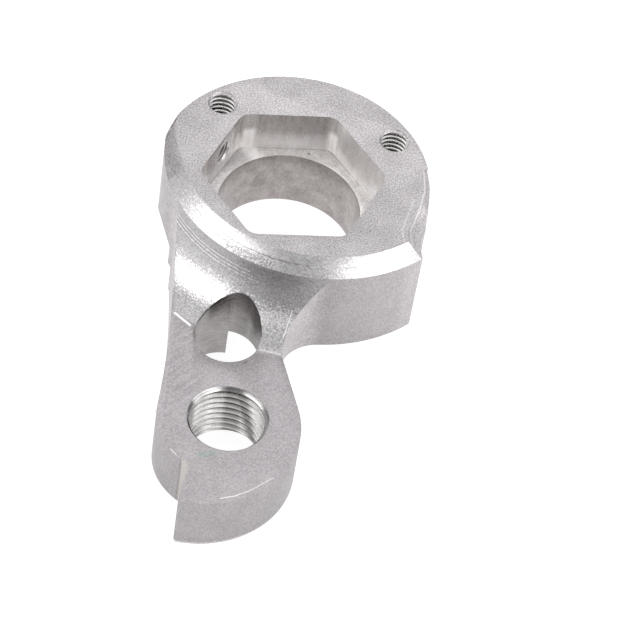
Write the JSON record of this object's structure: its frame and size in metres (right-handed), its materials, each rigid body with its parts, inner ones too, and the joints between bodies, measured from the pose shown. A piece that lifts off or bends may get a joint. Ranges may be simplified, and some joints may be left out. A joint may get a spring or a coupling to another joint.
{
  "type": "bicycle derailleur hanger",
  "caption": "Machined aluminium derailleur hanger: round head with hexagon pocket and axle bore, arm, threaded boss and stop tab.",
  "frame": {"origin": "on the axle bore's axis, at the flat underside of the head, which seats against the frame", "axes": "+Z along the axle bore, outboard, out of the hexagon pocket; the arm runs towards -Y"},
  "size_m": [0.0339, 0.0618, 0.0184],
  "materials": {
    "aluminium": "raw machined aluminium with a fine blasted grain"
  },
  "bodies": {
    "root": {"hanger": "aluminium"}
  },
  "joints": []
}
